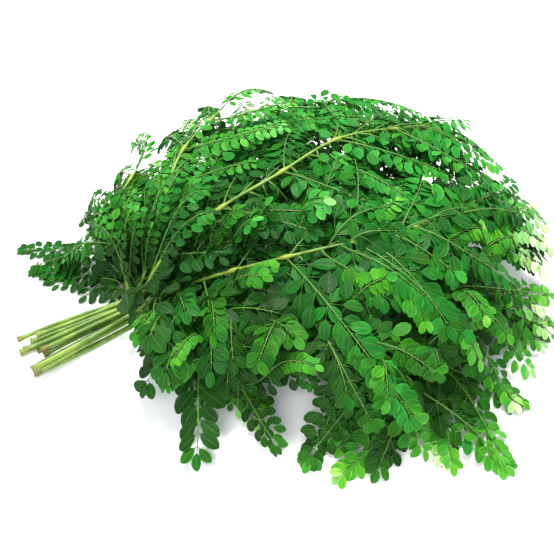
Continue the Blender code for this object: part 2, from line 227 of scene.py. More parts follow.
# lengths and places are in millimetres in this table
# slot: column and row in the bundle; points: the main stalk beyond the neck
# joints: share of the way, lengths of the left and right spray; tip: length and turn of the last spray
# aimed: share of the way, place of the end, rise on the way; more, in the scene alone: the same, then for some
# the lean towards the photo's viewer in degrees, and how much paler the tip is
# leaf: length of a large leaflet; counts: leaflets on the inner, middle and outer twigs
# tones: how pale at the stalk and at the tip; inner and skirt: counts; cover: count and shares of the way
fronds = {
    "frond_01": dict(
        slot=(0.3, 2), points=((-100, 28, 50), (-88, -10, 60), (-98, -48, 40)),
        joints=((0.46, 80, 80), (0.76, 95, 85)), tip=(100, -14),
        leaf=28, counts=(1, 1, 1), tones=(0.11, 0.2), warmth=0.6, inner=12, tipShrink=0.52, singlePitch=0.6,
        more=((0.15, (-144, 34, 56), 10), (0.3, (-140, 12, 46), 12), (0.22, (-126, 20, 66), 10))),
    "frond_02": dict(
        slot=(1.3, 2), points=((-68, 11, 70), (6, -24, 102), (80, -45, 116), (155, -46, 112)),
        joints=((0.37, 110, 110), (0.52, 120, 190), (0.7, 120, 135), (0.88, 110, 110)), tip=(110, 4),
        aimed=((0.97, (273, -1, 88), 8),),
        leaf=22.5, counts=(3, 1, 1), tones=(0.25, 0.42), warmth=0.28, inner=30, cover=(8, 0.55, 0.98),
        more=((0.85, (202, -43, 100), 10, -25), (0.92, (258, -12, 90), 10, -25, 0.1),
              (0.98, (222, -40, 75), 10, -20))),
    "frond_03": dict(
        slot=(2.2, 2), points=((-90, 56, 72), (-38, 59, 104), (28, 64, 124), (104, 82, 134), (206, 74, 128)),
        joints=((0.2, 95, 95), (0.37, 115, 105), (0.55, 120, 115), (0.73, 120, 125), (0.9, 110, 125)),
        tip=(112, 4), aimed=((0.72, (138, 187, 118), 6), (0.88, (207, 144, 112), 6), (0.98, (270, 83, 112), 8)),
        leaf=17.5, counts=(3, 3, 1), tones=(0.25, 0.52), warmth=0.25, inner=28, cover=(9, 0.76, 0.98), skirt=11,
        more=((0.42, (94, 154, 100), 6, -10), (0.48, (118, 143, 100), 6, -20), (0.55, (141, 120, 100), 4, -30),
              (0.08, (-34, 78, 118), 12, 0, -0.1), (0.1, (-40, 46, 112), 10, 0, -0.1),
              (0.7, (170, 150, 100), 8, -35), (0.78, (190, 132, 116), 10, -30),
              (0.84, (221, 108, 112), 12, -30), (0.86, (235, 95, 90), 6, -35),
              (0.88, (239, 73, 112), 10, -30, 0.1), (0.9, (255, 60, 85), 4, -35),
              (0.93, (251, 48, 106), 10, -30, 0.1), (0.96, (258, 11, 100), 8, -30, 0.1),
              (0.9, (228, 99, 100), 6, -35), (0.95, (240, 63, 95), 4, -35), (0.8, (172, 66, 90), 4, -20, -0.1),
              (0.88, (214, 66, 88), 4, -25, -0.1), (0.84, (182, 60, 84), 2, -20, -0.1),
              (0.92, (224, 46, 82), 2, -25, -0.1), (0.9, (196, 50, 86), 2, -20, -0.1),
              (0.93, (216, 54, 88), 2, -25, -0.1), (0.97, (245, 34, 78), 2, -30, -0.1),
              (0.99, (264, 18, 74), 2, -30, -0.1))),
    "frond_04": dict(
        slot=(3.1, 2), points=((-86, 98, 80), (-40, 150, 116), (20, 190, 130)),
        joints=((0.26, 110, 85), (0.48, 115, 105), (0.7, 110, 110), (0.9, 95, 100)), tip=(100, -12),
        aimed=((0.62, (-2, 235, 100), 6),),
        leaf=13, counts=(3, 3, 3), tones=(0.28, 0.7), warmth=0.42, inner=12, cover=(14, 0.0, 0.85), skirt=7,
        more=((0.5, (-6, 223, 104), 10, 0, 0.3), (0.75, (20, 215, 112), 10, 0, 0.2))),
    "frond_05": dict(
        slot=(4.0, 0), points=((-132, 96, 8), (-138, 130, 20), (-158, 158, 16)),
        joints=((0.42, 85, 85), (0.82, 85, 90)), tip=(90, 35), aimed=((0.16, (-179, 112, 3), 4),),
        leaf=16, counts=(3, 3, 1), tones=(0.14, 0.26), warmth=0.4, inner=8, cover=(4, 0.0, 0.8),
        more=((0.1, (-147, 88, 12), 6), (0.2, (-165, 114, 10), 6), (0.35, (-153, 131, 20), 8),
              (0.8, (-217, 165, 6), 8, 0, 0.1))),
    "frond_06": dict(
        slot=(4.1, 1), points=((-126, 100, 44), (-118, 144, 72), (-82, 182, 88)),
        joints=((0.36, 110, 75), (0.64, 110, 90), (0.9, 90, 90)), tip=(110, 85),
        leaf=14, counts=(3, 3, 3), tones=(0.24, 0.62), warmth=0.5, inner=10, cover=(14, 0.0, 0.8), skirt=4),
    "frond_07": dict(
        slot=(0.2, 1), points=((-80, 4, 50), (-24, -60, 78), (36, -116, 64), (70, -156, 26)),
        joints=((0.42, 105, 100), (0.64, 110, 105), (0.86, 100, 90)), tip=(100, -20),
        aimed=((0.8, (-50, -165, 4), 16), (0.92, (-2, -200, 3), 10)),
        leaf=19, counts=(3, 3, 1), tones=(0.24, 0.52), warmth=0.7, inner=23,
        more=((0.72, (-47, -166, 4), 12, 0, 0.1), (0.84, (-18, -169, 6), 10, 0, 0.25),
              (0.9, (-16, -190, 4), 10, 0, 0.3), (0.97, (-34, -188, 4), 6, 0, 0.35))),
    "frond_08": dict(
        slot=(0.0, 0), points=((-85, 4, 30), (-73, -33, 40), (-70, -84, 22)),
        joints=((0.5, 90, 80), (0.8, 85, 75)), tip=(70, -4),
        leaf=14, counts=(3, 3, 1), tones=(0.34, 0.64), warmth=0.7, inner=10,
        more=((0.8, (-70, -118, 4), 10, 0, 0.35), (0.92, (-84, -100, 6), 8, 0, 0.35))),
    "frond_09": dict(
        slot=(2.0, 0), points=((-60, 14, 46), (40, -34, 74), (125, -78, 62), (188, -106, 24)),
        joints=((0.48, 90, 100), (0.69, 110, 105), (0.89, 105, 95)), tip=(100, -8),
        aimed=((0.78, (241, -119, 40), 12), (0.88, (218, -149, 10), 8)),
        leaf=17.8, counts=(3, 3, 1), tones=(0.28, 0.84), toneCurve=2.6, warmth=0.6, inner=23,
        more=((0.72, (147, -168, 10), 8, 0, 0.12), (0.8, (147, -193, 6), 8, 0, 0.2),
              (0.82, (231, -123, 35), 12, 0, 0.3), (0.9, (226, -141, 20), 10, 0, 0.35),
              (0.96, (202, -142, 10), 8, 0, 0.1), (0.84, (249, -103, 30), 6, 0, -0.45),
              (0.92, (232, -126, 12), 6, 0, -0.4))),
    "frond_10": dict(
        slot=(2.3, 1), points=((-60, 36, 56), (40, 16, 90), (140, 12, 98), (228, -4, 86)),
        joints=((0.19, 85, 85), (0.35, 85, 80), (0.53, 95, 90), (0.72, 115, 100), (0.9, 110, 110)),
        tip=(105, -12), aimed=((0.92, (283, -64, 55), 10), (0.96, (285, 55, 85), 8)),
        leaf=18.5, counts=(3, 3, 1), tones=(0.27, 1.0), toneCurve=3.0, warmth=0.35, inner=25,
        cover=(4, 0.25, 0.6),
        more=((0.8, (248, -102, 50), 12, -15, 0.25), (0.86, (262, -82, 62), 12, -20, 0.25),
              (0.93, (276, -62, 70), 10, -25, 0.12), (0.98, (288, -30, 64), 8, -25, 0.12),
              (0.86, (248, -83, 40), 4, -10, -0.75), (0.9, (269, -69, 45), 4, -15, -0.6),
              (0.88, (266, -82, 42), 4, -10, -0.6), (0.94, (276, -62, 54), 4, -15, -0.6))),
    "frond_11": dict(
        slot=(3.0, 0), points=((-70, 90, 50), (4, 138, 100), (78, 182, 118), (156, 196, 104)),
        joints=((0.2, 90, 85), (0.41, 95, 90), (0.62, 105, 105), (0.84, 105, 105)), tip=(110, -10),
        aimed=((0.7, (95, 216, 118), 6), (1.0, (230, 120, 105), 10)),
        leaf=15.2, counts=(3, 3, 3), tones=(0.28, 0.64), warmth=0.3, inner=18, cover=(12, 0.25, 0.95), skirt=12,
        more=((0.5, (63, 218, 118), 10, 0, 0.3), (0.9, (205, 150, 95), 8, -30), (0.35, (91, 169, 110), 8, -10),
              (0.45, (119, 155, 108), 8, -20), (0.6, (150, 151, 108), 6, -25), (0.8, (195, 122, 100), 6, -30),
              (0.4, (84, 128, 95), 4, -10, -0.1), (0.5, (116, 118, 95), 4, -15, -0.1),
              (0.75, (188, 103, 92), 2, -25, -0.1))),
    "frond_12": dict(
        slot=(1.0, 0), points=((-60, 44, 2), (40, -46, 16), (108, -126, 12)),
        joints=((0.84, 90, 85),), tip=(90, -12), aimed=((0.95, (62, -221, 3), 6),),
        leaf=17, counts=(3, 3, 1), tones=(0.36, 0.6), warmth=0.65, inner=11,
        more=((0.8, (44, -181, 6), 8, 0, 0.3), (0.9, (58, -212, 4), 8, 0, 0.36), (1.0, (109, -232, 4), 6))),
}


def inMetres(place):
    return Vector([value / 1000 for value in place])


def domeHeight(x, y):
    out = ((x - heap["centre"][0]) / heap["halfSize"][0]) ** 2 + ((y - heap["centre"][1]) / heap["halfSize"][1]) ** 2
    return heap["height"] * (1 - out) ** heap["power"] if out < 1 else 0.0


def domeNormal(x, y):
    d = heap["slopeStep"]
    slopeX = (domeHeight(x + d, y) - domeHeight(x - d, y)) / (2 * d)
    slopeY = (domeHeight(x, y + d) - domeHeight(x, y - d)) / (2 * d)
    return Vector((-slopeX, -slopeY if slopeY > 0 else -slopeY * heap["farLean"], 1)).normalized()


def smoothPath(points, perSpan):
    # straight along the first span, which lies in the bundle
    spans = [b - a for a, b in zip(points, points[1:])]
    headings = [spans[0].normalized()] * 2
    for before, after in zip(spans[1:], spans[2:]):
        headings.append((before.normalized() * after.length + after.normalized() * before.length).normalized())
    headings.append(spans[-1].normalized())
    path = [points[0].copy(), points[0].lerp(points[1], 0.5)]
    for i in range(1, len(spans)):
        reach = spans[i].length
        for k in range(perSpan):
            t = k / perSpan
            path.append(points[i] * (1 - 3 * t ** 2 + 2 * t ** 3) + points[i + 1] * (3 * t ** 2 - 2 * t ** 3)
                        + headings[i] * reach * (t - 2 * t ** 2 + t ** 3)
                        + headings[i + 1] * reach * (t ** 3 - t ** 2))
    return path + [points[-1].copy()]


class Way:
    # a path that is read by the distance along it, straight on past its ends
    def __init__(self, points):
        self.points = points
        self.marks = [0.0]
        for a, b in zip(points, points[1:]):
            self.marks.append(self.marks[-1] + (b - a).length)
        self.length = self.marks[-1]

    def at(self, distance):
        i = 0
        while i < len(self.marks) - 2 and self.marks[i + 1] < distance:
            i += 1
        share = (distance - self.marks[i]) / (self.marks[i + 1] - self.marks[i])
        return self.points[i].lerp(self.points[i + 1], share)

    def along(self, distance):
        reach = 0.004
        return (self.at(distance + reach) - self.at(distance - reach)).normalized()


def slotPoint(centre, pitch, radius, slot, along):
    height = radius * bundle["flatShare"] + slot[1] * bundle["rowPitch"]
    return centre + acrossRun * (slot[0] - bundle["middleColumn"]) * pitch + run * along + Vector((0, 0, height))


def stalkWay(index, plan, perSpan=4):
    stagger = bundle["stagger"][index % len(bundle["stagger"])]
    cut = slotPoint(bundle["cutEnds"], bundle["cutPitch"], bundle["cutRadius"], plan["slot"], stagger)
    neck = slotPoint(bundle["neck"], bundle["neckPitch"], bundle["neckRadius"], plan["slot"], 0.0)
    return Way(smoothPath([cut, neck] + [inMetres(place) for place in plan["points"]], perSpan))


def distanceAt(way, share):
    # the share is of the way from the neck to the tip
    return neckDistance + (way.length - neckDistance) * share


def stalkRadius(way, distance):
    if distance < neckDistance:
        return bundle["cutRadius"] + (bundle["neckRadius"] - bundle["cutRadius"]) * distance / neckDistance
    share = (distance - neckDistance) / (way.length - neckDistance)
    return bundle["neckRadius"] + (bundle["tipRadius"] - bundle["neckRadius"]) * share


def drape(start, heading, turn, slope, length, shell, hold):
    points = [start.copy()]
    step = length / spray["steps"]
    for i in range(spray["steps"]):
        way = heading + turn * (i + 0.5) / spray["steps"]
        p = points[-1]
        ahead = domeHeight(p.x + cos(way) * step, p.y + sin(way) * step) * shell
        wanted = atan2(ahead - p.z, spray["lookAhead"] * step)
        slope = wanted + (slope - wanted) * hold
        level = step * cos(slope)
        p = p + Vector((cos(way) * level, sin(way) * level, step * sin(slope)))
        p.z = max(p.z, spray["lowestRib"])
        points.append(p)
    return Way(points)


def reachOut(start, along, end, rise):
    # the rib of an aimed spray: it leaves forwards and upwards and levels out at its end
    straight = end - start
    reach = straight.length / 3
    first = start + (along + straight.normalized()).normalized() * reach + Vector((0, 0, rise))
    last = end - Vector((straight.x, straight.y, 0)).normalized() * reach + Vector((0, 0, rise))
    points = []
    for i in range(spray["steps"] + 1):
        t = i / spray["steps"]
        p = start * (1 - t) ** 3 + first * 3 * t * (1 - t) ** 2 + last * 3 * t ** 2 * (1 - t) + end * t ** 3
        p.z = max(p.z, spray["lowestRib"])
        points.append(p)
    return Way(points)


def sprayPairs(length):
    # how many pairs of side twigs, their pitch, and the length of the tip
    tipLength = spray["pitch"] * spray["tipLength"]
    pairs = max(2, round((length - spray["bareLength"] - tipLength) / spray["pitch"]))
    return pairs, (length - spray["bareLength"] - tipLength) / pairs, tipLength


def pairReach(pair, pairs):
    return spray["reach"] * (1 - (1 - spray["tipReach"]) * pair / pairs)


def bladeStations(length):
    pairs, pitch, tipLength = sprayPairs(length)
    stations = [(0.0, 0.0), (spray["bareLength"] * 0.5, 0.0)]
    for pair in range(pairs):
        reach = pairReach(pair, pairs)
        stations += [(spray["bareLength"] + (pair + share) * pitch, reach * out) for share, out in spray["outline"]]
    reach = tipLength * spray["tipHalfWidth"]
    stations += [(length - tipLength * (1 - share), reach * out) for share, out in spray["tipOutline"]]
    return stations


def acrossRib(rib, distance, roll):
    # a point of the rib, the way across it and the way out of the heap
    p = rib.at(distance)
    along = rib.along(distance)
    side = along.cross(domeNormal(p.x, p.y)).normalized()
    side = side * cos(roll) + side.cross(along) * sin(roll)
    return p, side, side.cross(along)


def bladePoint(rib, distance, across, arch, roll):
    p, side, normal = acrossRib(rib, distance, roll)
    p = p + side * across - normal * abs(across) * arch
    p.z = max(p.z, spray["lowestEdge"])
    return p


def bladeRings(rib, length, arch, roll):
    rings = []
    for distance, reach in bladeStations(length):
        p, side, normal = acrossRib(rib, distance, 0.0)
        half = normal * spray["ribHalfHeight"]
        across = spray["ribHalfWidth"] + reach
        ahead = distance + spray["lean"] * reach
        right, left = (bladePoint(rib, ahead, out, arch, roll) for out in (across, -across))
        rings.append((p + half, right, p - half, left))
    return rings


def bladeSkin(rings):
    faces = []
    for ring in range(len(rings) - 1):
        a, b = ring * 4, ring * 4 + 4
        for first, second in ((0, 1), (0, 3), (2, 1), (2, 3)):
            faces += [(a + first, a + second, b + second), (a + first, b + second, b + first)]
    last = (len(rings) - 1) * 4
    faces += [(0, 2, 1), (0, 3, 2), (last, last + 1, last + 2), (last, last + 2, last + 3)]
    return [p for ring in rings for p in ring], faces


def tubeFaces(spans):
    faces = []
    for a in range(0, spans * 6, 6):
        for i in range(6):
            j = (i + 1) % 6
            faces += [(a + i, a + j, a + 6 + j), (a + i, a + 6 + j, a + 6 + i)]
    return faces


def inflated(rings, gap):
    points = []
    for top, right, under, left in rings:
        lift = (top - under).normalized() * gap
        out = (right - left).normalized() * gap
        points += [top + lift, right + lift + out, right - lift + out, under - lift, left - lift - out,
                   left + lift - out]
    return points, tubeFaces(len(rings) - 1)


class Placed:
    # a piece that is in place, with its skin and its box for a quick test
    def __init__(self, frond, points, faces):
        self.frond = frond
        self.low = Vector([min(p[i] for p in points) for i in range(3)])
        self.high = Vector([max(p[i] for p in points) for i in range(3)])
        self.tree = BVHTree.FromPolygons(points, faces)

    def meets(self, other):
        if any(self.low[i] > other.high[i] or other.low[i] > self.high[i] for i in range(3)):
            return False
        return bool(self.tree.overlap(other.tree))


def stalkSkin(way, gap):
    points = []
    for span in range(spray["stalkSpans"] + 1):
        distance = way.length * span / spray["stalkSpans"]
        p = way.at(distance)
        side = way.along(distance).cross(up).normalized()
        lift = side.cross(way.along(distance))
        radius = (stalkRadius(way, distance) + gap) / bundle["flatShare"]
        for corner in range(6):
            angle = corner * pi / 3
            points.append(p + (side * cos(angle) + lift * sin(angle)) * radius)
    return points, tubeFaces(spray["stalkSpans"])


def jointDistances(plan, way):
    return [distanceAt(way, joint[0]) for joint in plan["joints"]]


def wantedSprays(plan, way):
    sprays = []
    for distance, (share, left, right) in zip(jointDistances(plan, way), plan["joints"]):
        for length, side in ((left, 1), (right, -1)):
            sprays.append((distance + spray["pairOffset"] * side, length / 1000, side, 0.0))
    length, turn = plan["tip"]
    return sprays + [(way.length - spray["tipSink"], length / 1000, 0, radians(turn))]


def either(draw, most):
    return draw.uniform(-most, most)


def scatter(draw, most):
    return Vector([either(draw, most) for i in range(3)])


def drawSpray(way, wanted, draw, loose):
    distance, length, side, turn = wanted
    start = way.at(distance)
    along = way.along(distance)
    under = domeHeight(start.x, start.y)
    low, high = spray["shells"]
    shell = min(max(start.z / under, low), high) if under > 0 else 1.0
    spread = radians(draw.uniform(*spray["spread"]) + loose * either(draw, spray["looseSpread"])) * side
    lift = radians(draw.uniform(*spray["lift"]) + loose * either(draw, spray["looseLift"]))
    slope = asin(along.z) * (spray["sideSlope"] if side else 1) + lift
    bend = turn + radians(either(draw, spray["bend"]) - spray["inward"] * side)
    length *= 1 - spray["looseLength"] * loose * draw.random()
    shell *= 1 + loose * draw.uniform(*spray["looseShell"])
    hold = draw.uniform(*spray["hold"]) if side else spray["tipHold"]
    rib = drape(start, atan2(along.y, along.x) + spread, bend, slope, length, shell, hold)
    arch = draw.uniform(*spray["arch"])
    return distance, rib, length, arch, radians(either(draw, spray["roll"][0]) * (1 + loose))


def drawAimed(way, aim, draw, loose):
    share, end, rise = aim
    distance = distanceAt(way, share) - spray["tipSink"]
    end = inMetres(end) + scatter(draw, spray["looseEnd"]) * loose
    end.z = max(end.z, spray["lowestRib"])
    rise = rise / 1000 + draw.uniform(0.0, spray["looseEnd"]) * loose
    rib = reachOut(way.at(distance), way.along(distance), end, rise)
    arch = draw.uniform(*spray["arch"])
    return distance, rib, rib.length, arch, radians(either(draw, spray["roll"][1]) * (1 + loose))


def placeSpray(name, order, drawn, placed):
    # a spray is bent clear of the other fronds, and one that finds no room is left out, as in the CAD
    draw = random.Random(f"{spray['seed']} {name} {order}")
    for attempt in range(spray["tries"]):
        found = drawn(draw, attempt / spray["tries"])
        rings = bladeRings(*found[1:])
        whole = Placed(name, *bladeSkin(rings))
        blade = Placed(name, *bladeSkin(rings[spray["rootRings"]:]))
        meetsOthers = any(whole.meets(other) for other in placed if other.frond != name)
        meetsOwn = attempt < spray["ownTries"] and any(blade.meets(other) for other in placed if other.frond == name)
        if not meetsOthers and not meetsOwn:
            placed.append(Placed(name, *inflated(rings[:spray["rootRings"] + 1], spray["clearance"])))
            placed.append(Placed(name, *inflated(rings[spray["rootRings"]:], spray["clearance"])))
            return [found]
    return []


def placeSprays(ways):
    # the aimed sprays come first, and the rest find room between them
    placed = [Placed(name, *stalkSkin(way, spray["clearance"])) for name, way in ways.items()]
    aimed = {name: plan.get("aimed", ()) for name, plan in fronds.items()}
    rest = {name: wantedSprays(plan, ways[name]) for name, plan in fronds.items()}
    sprays = {name: [] for name in ways}
    for wishes, drawn, label in ((aimed, drawAimed, "aimed "), (rest, drawSpray, "")):
        for name, way in ways.items():
            for order, wish in enumerate(wishes[name]):
                sprays[name] += placeSpray(name, f"{label}{order}", partial(drawn, way, wish), placed)
    return sprays


# more sprays of the scene alone: under the ones that show, over bare stalks, and down to the surface behind
# spread from the stalk and slope in degrees; rim: how far out they may reach; shares: of the way to the tip; shade:
# the share of their tone that inner sprays keep, painted shade under the sprays that show
innerSprays = dict(
    length=(0.075, 0.125), shell=(0.56, 1.03), spread=(24, 72), slope=(-50, 8), hold=(0.55, 0.75), rim=0.91,
    shares=(0.0, 1.0), counts=(3, 1, 1), shade=0.8, seed=5)
coverSprays = dict(
    length=(0.06, 0.095), shell=(0.97, 1.06), spread=(4, 42), slope=(15, 50), hold=(0.5, 0.62), rim=1.0, seed=3)
skirtSprays = dict(
    length=(0.09, 0.14), shell=(0.1, 0.55), spread=(30, 100), slope=(-75, -35), hold=(0.6, 0.8), rim=1.0,
    shares=(0.15, 1.0), seed=7)
filling = {
    "stretch": (1.04, 0.96),  # where sprays start: how far past the neck, and over how much of the way
    "spacing": (0.1, 0.9),
    "tries": 12,
    "turn": 30,  # degrees, and the roll too
    "roll": 20,
    "rootPoints": 4,  # of the rib, which may stand past the rim
    "aimedLoose": 0.12,
}


def away(x, y):
    # 0 at the heap's middle, 1 at its rim
    return hypot((x - heap["centre"][0]) / heap["halfSize"][0], (y - heap["centre"][1]) / heap["halfSize"][1])


# stretches of main stalks that stay bare: frond and shares of its way
bareStretches = (("frond_02", 0.22, 0.60), ("frond_03", 0.0, 0.14), ("frond_03", 0.38, 0.70))
bareMargin = 0.015
bareDepth = 0.004
bareSteps = 20


def bareSpots(ways):
    spots = []
    for name, low, high in bareStretches:
        shares = [low + (high - low) * k / bareSteps for k in range(bareSteps + 1)]
        spots += [ways[name].at(distanceAt(ways[name], share)) for share in shares]
    return spots


def coversSpot(rib, spots):
    return any(p.z > spot.z - bareDepth and hypot(p.x - spot.x, p.y - spot.y) < bareMargin
               for p in rib.points[2:] for spot in spots)


def looseSprays(name, way, values, count, shares, spots):
    draw = random.Random(f"{values['seed']} {name}")
    low, high = shares
    past, over = filling["stretch"]
    sprays = []
    for k in range(count):
        for attempt in range(filling["tries"]):
            share = low + (high - low) * (k + draw.uniform(*filling["spacing"])) / count
            distance = neckDistance * past + (way.length - neckDistance) * over * share
            along = way.along(distance)
            side = 1 if k % 2 else -1
            heading = atan2(along.y, along.x) + radians(draw.uniform(*values["spread"])) * side
            slope = radians(draw.uniform(*values["slope"]))
            length = draw.uniform(*values["length"])
            rib = drape(way.at(distance), heading, radians(either(draw, filling["turn"])), slope, length,
                        draw.uniform(*values["shell"]), draw.uniform(*values["hold"]))
            inRim = all(away(p.x, p.y) < values["rim"] for p in rib.points[filling["rootPoints"]:])
            if inRim and not coversSpot(rib, spots):
                arch = draw.uniform(*spray["arch"])
                sprays.append((distance, rib, length, arch, radians(either(draw, filling["roll"]))))
                break
    return sprays


def moreAimed(name, plan, way):
    # each with how much paler its tip is
    draw = random.Random(f"more {name}")
    sprays = []
    for share, end, rise, *rest in plan.get("more", ()):
        lean, pale = (*rest, 0, 0)[:2]
        distance, rib, length, arch, roll = drawAimed(way, (share, end, rise), draw, filling["aimedLoose"])
        sprays.append(((distance, rib, length, arch, roll + radians(lean)), pale))
    return sprays


# leaflets

leaflet = {
    # share of the length, share of the half width
    "rows": ((0.0, 0.05), (0.09, 0.08), (0.22, 0.56), (0.45, 0.95), (0.69, 0.97), (0.89, 0.64), (1.0, 0.14)),
    "width": 0.61,  # of the length
    "thickness": 0.018,
    # each way of lying: fold along the midrib, droop of the tip, sideways bend
    "lies": ((0.10, 0.03, 0.02), (0.22, 0.10, -0.04), (0.34, 0.16, 0.03), (0.06, 0.20, -0.02), (0.26, 0.05, 0.05),
             (-0.08, 0.12, 0.00), (0.16, 0.26, -0.05), (0.44, 0.10, 0.02)),
}


def makeLeaflet(name, fold, droop, bend):
    leaf = bmesh.new()
    leaf.loops.layers.uv.new("leafMap")
    underside = leaf.faces.layers.float.new("underside")
    last = len(leaflet["rows"]) - 1
    bmesh.ops.create_grid(leaf, x_segments=2, y_segments=last, size=0.5, calc_uvs=True)
    copied = bmesh.ops.duplicate(leaf, geom=leaf.verts[:] + leaf.edges[:] + leaf.faces[:])["geom"]
    lower = [part for part in copied if isinstance(part, bmesh.types.BMFace)]
    bmesh.ops.reverse_faces(leaf, faces=lower)
    for face in lower:
        face[underside] = 1.0
    midrib = [v for v in {v for face in lower for v in face.verts} if abs(v.co.x) < 0.1 and abs(v.co.y) < 0.49]
    bmesh.ops.translate(leaf, vec=(0, 0, -leaflet["thickness"]), verts=midrib)
    bmesh.ops.remove_doubles(leaf, verts=leaf.verts, dist=0.0001)
    for v in leaf.verts:
        along, half = leaflet["rows"][round((v.co.y + 0.5) * last)]
        across = v.co.x * leaflet["width"] * half
        v.co = (across + bend * along ** 2, along, v.co.z + fold * abs(across) - droop * along ** 2)
    for edge in leaf.edges:
        edge.smooth = len({face[underside] for face in edge.link_faces}) == 1
    for face in leaf.faces:
        face.smooth = True
    mesh = bpy.data.meshes.new(name)
    leaf.to_mesh(mesh)
    leaf.free()
    return mesh


leafShapes = [makeLeaflet(f"leaflet{k}", *lie) for k, lie in enumerate(leaflet["lies"])]
leafFaces = len(leafShapes[0].polygons)
leafPoints = [[v.co.copy() for v in shape.vertices] for shape in leafShapes]
print("leaflet shapes made, with", leafFaces, "faces each")

growth = {
    # distances for a leaflet of length 1
    "twigPitch": 0.82,
    "singlePitch": 0.43,
    "pitchSpread": (0.94, 1.06),
    "pairJitter": 0.0008,
    "bareTwig": 0.08,
    "firstPair": 1.4,  # of the bare length
    "twigEnd": 0.08,
    "pairPitch": 0.52,
    "lobeLean": 0.92,  # how far ahead a side twig points, for its reach
    "sprayEnd": 0.9,
    # sizes: on a twig, beside its tip, at the spray's tip, and there against those at its root
    "twigSize": (0.9, 1.1),
    "sideShare": 0.90,
    "sideSize": (0.88, 1.08),
    "endSize": 1.08,
    "tipShrink": 0.62,
    "width": (0.88, 1.12),
    "sideAngle": (46, 68),  # degrees
    "tilt": 0.21,
    "tiltShare": 0.5,  # of the tilt, along the leaflet
    "sag": 0.10,
    "flatBelow": 0.012,
    "tipHeight": 0.002,
    "lowest": 0.0003,
    # tones: how much they rise along the stalk and the spray, how they rise, and how much they vary
    "toneShares": (0.45, 0.6),
    "toneCurve": 1.6,
    "sprayTone": 0.06,
    "leafTone": 0.05,
    "leafWarmth": 0.16,
    "deep": 0.030,  # leaflets this far under the heap's surface get the full painted shade
    "paintedShadeTone": 0.32,
    "lowestTone": 0.03,
    "ribRadii": (0.00080, 0.00034),
    "rootSwell": 0.0004,
    "ribSpans": 10,
    "twigRadii": (0.00034, 0.00020),
}


def clamped(value):
    return min(max(value, 0.0), 1.0)


class Frond:
    # what grows on one frond before it becomes a mesh
    def __init__(self, name, plan, way):
        self.name, self.plan, self.way = name, plan, way
        self.leaves = bmesh.new()
        self.tones, self.warmths, self.ribs, self.twigs = [], [], [], []
        self.draw = random.Random(f"leaves {name}")


def layLeaflet(frond, base, direction, normal, length, tone):
    draw = frond.draw
    jitter = scatter(draw, 1) * growth["tilt"]
    direction = (direction + jitter * growth["tiltShare"] - up * growth["sag"]).normalized()
    normal = (normal + jitter).normalized()
    near = clamped(base.z / growth["flatBelow"])  # leaflets on the surface lie flat
    normal = (up * (1 - near) + normal * near).normalized()
    if base.z + direction.z * length < growth["tipHeight"]:
        direction.z = (growth["tipHeight"] - base.z) / length
        direction.normalize()
    side = direction.cross(normal).normalized()
    normal = side.cross(direction)
    width = length * draw.uniform(*growth["width"])
    matrix = Matrix((side * width, direction * length, normal * length)).transposed().to_4x4()
    matrix.translation = base
    kind = draw.randrange(len(leafShapes))
    lowest = min((matrix @ p).z for p in leafPoints[kind])
    if lowest < growth["lowest"]:
        matrix.translation.z += growth["lowest"] - lowest
    mesh = leafShapes[kind].copy()
    mesh.transform(matrix)
    frond.leaves.from_mesh(mesh)
    bpy.data.meshes.remove(mesh)
    # painted shade: a leaflet under the heap's surface is darkened by its depth, down to the lowest tone
    deep = clamped((domeHeight(base.x, base.y) - base.z) / growth["deep"]) * near
    tone = max(tone - deep * growth["paintedShadeTone"], growth["lowestTone"])
    frond.tones.append(tone + draw.gauss(0, growth["leafTone"]))
    frond.warmths.append(frond.plan["warmth"] + draw.gauss(0, growth["leafWarmth"]))


def growTwig(frond, spot, normal, count, size, tone):
    # spot(distance) gives the twig's line, from the rib outwards
    draw = frond.draw
    size *= draw.uniform(*growth["twigSize"])
    root = spot(0.0)
    pairs = (count - 1) // 2
    headAt = size * (growth["bareTwig"] + growth["pairPitch"] * pairs)
    head = spot(headAt)
    line = (spot(headAt + size) - root).normalized()
    layLeaflet(frond, head, line, normal, size, tone)
    for pair in range(pairs):
        base = spot(size * (growth["bareTwig"] * growth["firstPair"] + growth["pairPitch"] * pair))
        for side in (1, -1):
            way = Quaternion(normal, radians(draw.uniform(*growth["sideAngle"])) * side) @ line
            sideLength = size * growth["sideShare"] * draw.uniform(*growth["sideSize"])
            layLeaflet(frond, base, way, normal, sideLength, tone)
    thick, thin = growth["twigRadii"]
    if pairs:
        frond.twigs.append([(root, thick), (spot(headAt * 0.5), (thick + thin) / 2), (head, thin)])
    else:
        frond.twigs.append([(root, thick), (head + line * size * growth["twigEnd"], thin)])


